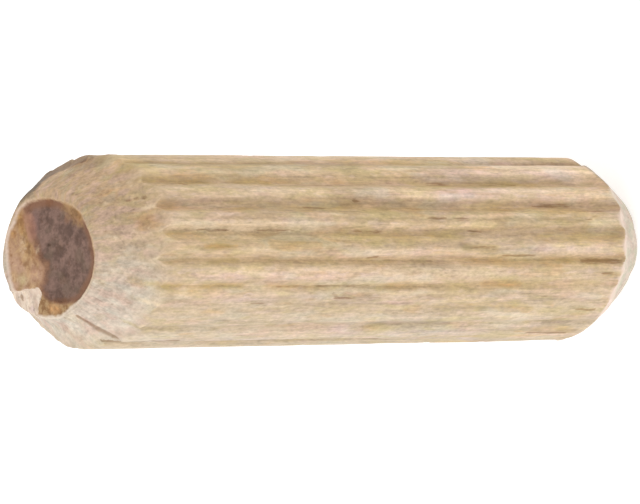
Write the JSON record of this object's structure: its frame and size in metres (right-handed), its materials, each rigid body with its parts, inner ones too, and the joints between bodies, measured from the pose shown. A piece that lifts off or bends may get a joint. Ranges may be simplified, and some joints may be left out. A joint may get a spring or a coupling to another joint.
{
  "type": "dowel pin",
  "caption": "Fluted hardwood dowel pin with chamfered ends, glued into matching holes to align and join two boards.",
  "frame": {"origin": "centre of the pin's outline at its lower end face, where it stands", "axes": "+Z along the pin, up to the end face with the chip; +X and +Y across the pin, with the chamfers cut slightly off centre"},
  "size_m": [0.008, 0.008, 0.035],
  "materials": {
    "bare_wood": "unfinished pale hardwood, fluted lengthwise, with rough cut chamfers and a darkened upper end"
  },
  "bodies": {
    "root": {"dowel_pin": "bare_wood"}
  },
  "joints": []
}
